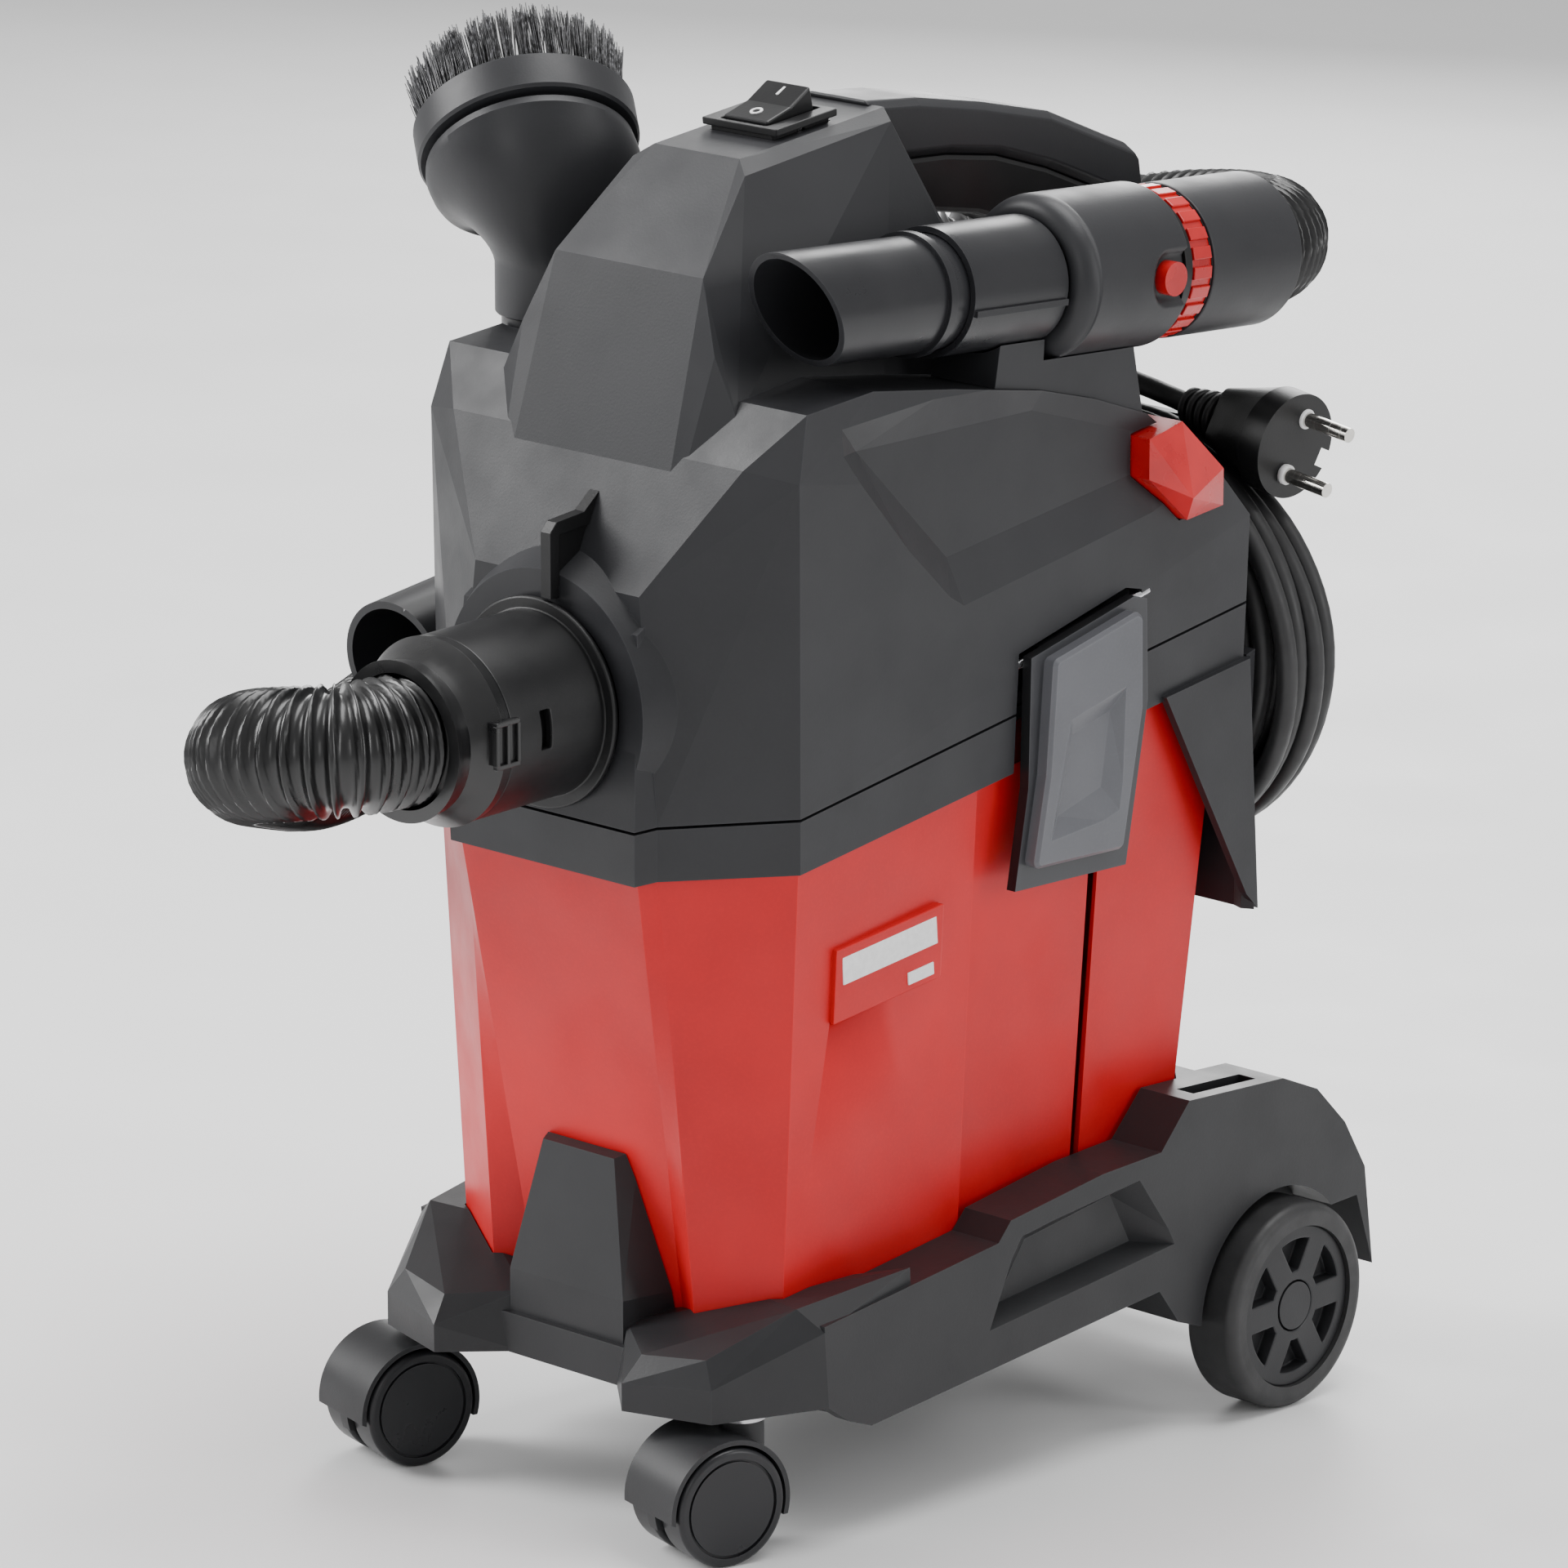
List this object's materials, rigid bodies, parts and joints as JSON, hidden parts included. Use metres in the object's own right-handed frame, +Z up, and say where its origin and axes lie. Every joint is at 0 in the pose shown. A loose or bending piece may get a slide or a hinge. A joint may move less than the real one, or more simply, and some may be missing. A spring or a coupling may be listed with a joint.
{
  "type": "shop vacuum",
  "caption": "Compact wet and dry shop vacuum: dirt tank on a castor trolley, motor head with carry handle, flexible hose, hand tube, nozzles and wound mains lead.",
  "frame": {"origin": "on the floor under the middle of the object's footprint, with the free hose, lead and plug left out", "axes": "+Z up from the floor, +Y towards the back of the vacuum, +X towards its right-hand side; the hose inlet looks along -Y"},
  "size_m": [0.2659, 0.4244, 0.4549],
  "materials": {
    "brass": "bright nickel-plated brass",
    "bristle": "dense black nylon bristles",
    "cord_rubber": "matte black rubber-like sheath",
    "filter_paper": "pleated off-white filter paper",
    "hose_gloss": "glossy black flexible plastic",
    "housing": "fine-grained moulded black plastic, satin sheen",
    "housing_grey": "moulded dark grey plastic, satin",
    "latch_grey": "moulded mid grey plastic, satin",
    "motor_metal": "laminated steel and copper winding",
    "red_button": "glossy red plastic",
    "steel": "bright plated steel",
    "tank_red": "moulded red plastic, satin",
    "tyre": "matte black rubber"
  },
  "bodies": {
    "trolley": {"chassis": "housing", "tank": "tank_red", "tank_badge": "tank_red", "rear_axle": "steel", "axle_caps": "housing", "castor_collar_right": "steel", "castor_collar_left": "steel"},
    "head": {"head_base": "housing", "head_cover": "housing", "handle_upper": "housing_grey", "handle_lower": "housing", "switch_bezel": "housing", "switch_pin": "steel", "latch_pins": "steel", "button_guide": "housing", "button_spring": "steel", "inlet_port": "housing", "front_hook": "housing", "hose_cuff": "hose_gloss", "hose": "hose_gloss", "hand_tube": "housing", "adapter_body": "housing", "adapter_ring": "red_button", "hose_collar": "housing", "tube_saddle": "housing", "brush_tube": "housing", "crevice_nozzle": "housing", "lead_coil": "cord_rubber", "lead_from_gland": "cord_rubber", "lead_to_plug": "cord_rubber", "cord_gland": "housing", "plug_body": "cord_rubber", "plug_pins": "brass", "motor_housing": "housing", "motor_seal": "cord_rubber", "filter_cage": "housing", "filter_cartridge": "filter_paper"},
    "latch_r": {"latch_right": "latch_grey"},
    "latch_l": {"latch_left": "latch_grey"},
    "rocker": {"switch_rocker": "housing_grey"},
    "cleaner": {"clean_button": "red_button"},
    "release_out": {"release_button_outer": "red_button"},
    "release_in": {"release_button_inner": "red_button"},
    "slider": {"air_slider": "housing"},
    "rotor": {"motor_rotor": "motor_metal", "impeller": "housing"},
    "brush": {"brush_body": "housing", "brush_bristles": "bristle"},
    "castor_r": {"castor_hood_right": "housing", "castor_stem_right": "steel"},
    "castor_roller_r": {"castor_wheels_right": "housing"},
    "castor_l": {"castor_hood_left": "housing", "castor_stem_left": "steel"},
    "castor_roller_l": {"castor_wheels_left": "housing"},
    "rear_wheel_r": {"rear_tyre_right": "tyre", "rear_hub_right": "housing"},
    "rear_wheel_l": {"rear_tyre_left": "tyre", "rear_hub_left": "housing"}
  },
  "joints": [
    {"name": "head_lift", "type": "slide", "parent": "trolley", "child": "head", "axis": [0, -0.0489, 0.9988], "range_m": [0, 0.25]},
    {"name": "latch_right_open", "type": "hinge", "parent": "head", "child": "latch_r", "pos_m": [0.08751, 0.0084, 0.26694], "axis": [0, -0.9721, -0.2344], "range_deg": [0, 33]},
    {"name": "latch_left_open", "type": "hinge", "parent": "head", "child": "latch_l", "pos_m": [-0.06009, 0.0084, 0.26694], "axis": [0, 0.9721, 0.2344], "range_deg": [0, 25]},
    {"name": "switch_rock", "type": "hinge", "parent": "head", "child": "rocker", "pos_m": [0.01371, -0.04034, 0.42776], "axis": [1, 0, 0], "range_deg": [-16, 0]},
    {"name": "filter_clean_press", "type": "slide", "parent": "head", "child": "cleaner", "axis": [-1, 0, 0], "range_m": [0, 0.004], "stiffness_N_per_m": 400, "deforming": ["button_spring"]},
    {"name": "release_outer_press", "type": "slide", "parent": "head", "child": "release_out", "axis": [-1, 0, 0], "range_m": [0, 0.0015], "stiffness_N_per_m": 300},
    {"name": "release_inner_press", "type": "slide", "parent": "head", "child": "release_in", "axis": [1, 0, 0], "range_m": [0, 0.0015], "stiffness_N_per_m": 300},
    {"name": "air_slider_turn", "type": "hinge", "parent": "head", "child": "slider", "pos_m": [0.07371, -0.01259, 0.38366], "axis": [0, -0.9996, 0.0267], "range_deg": [0, 70]},
    {"name": "motor_spin", "type": "hinge", "parent": "head", "child": "rotor", "pos_m": [0.01371, -0.00195, 0.27385], "axis": [0, -0.0489, 0.9988], "continuous": true},
    {"name": "brush_lift", "type": "slide", "parent": "head", "child": "brush", "axis": [0, -0.0489, 0.9988], "range_m": [0, 0.06]},
    {"name": "castor_swivel_right", "type": "hinge", "parent": "trolley", "child": "castor_r", "pos_m": [0.07971, -0.10858, 0.03836], "axis": [0, -0.0489, 0.9988], "continuous": true},
    {"name": "castor_roll_right", "type": "hinge", "parent": "castor_r", "child": "castor_roller_r", "pos_m": [0.07648, -0.11972, 0.01917], "axis": [0.9659, -0.2585, -0.0126], "continuous": true},
    {"name": "castor_swivel_left", "type": "hinge", "parent": "trolley", "child": "castor_l", "pos_m": [-0.05229, -0.10858, 0.03836], "axis": [0, -0.0489, 0.9988], "continuous": true},
    {"name": "castor_roll_left", "type": "hinge", "parent": "castor_l", "child": "castor_roller_l", "pos_m": [-0.05552, -0.11972, 0.01917], "axis": [0.9659, -0.2585, -0.0126], "continuous": true},
    {"name": "rear_wheel_right_roll", "type": "hinge", "parent": "trolley", "child": "rear_wheel_r", "pos_m": [0.10371, 0.1299, 0.0344], "axis": [1, 0, 0], "continuous": true},
    {"name": "rear_wheel_left_roll", "type": "hinge", "parent": "trolley", "child": "rear_wheel_l", "pos_m": [-0.07629, 0.1299, 0.0344], "axis": [1, 0, 0], "continuous": true}
  ]
}
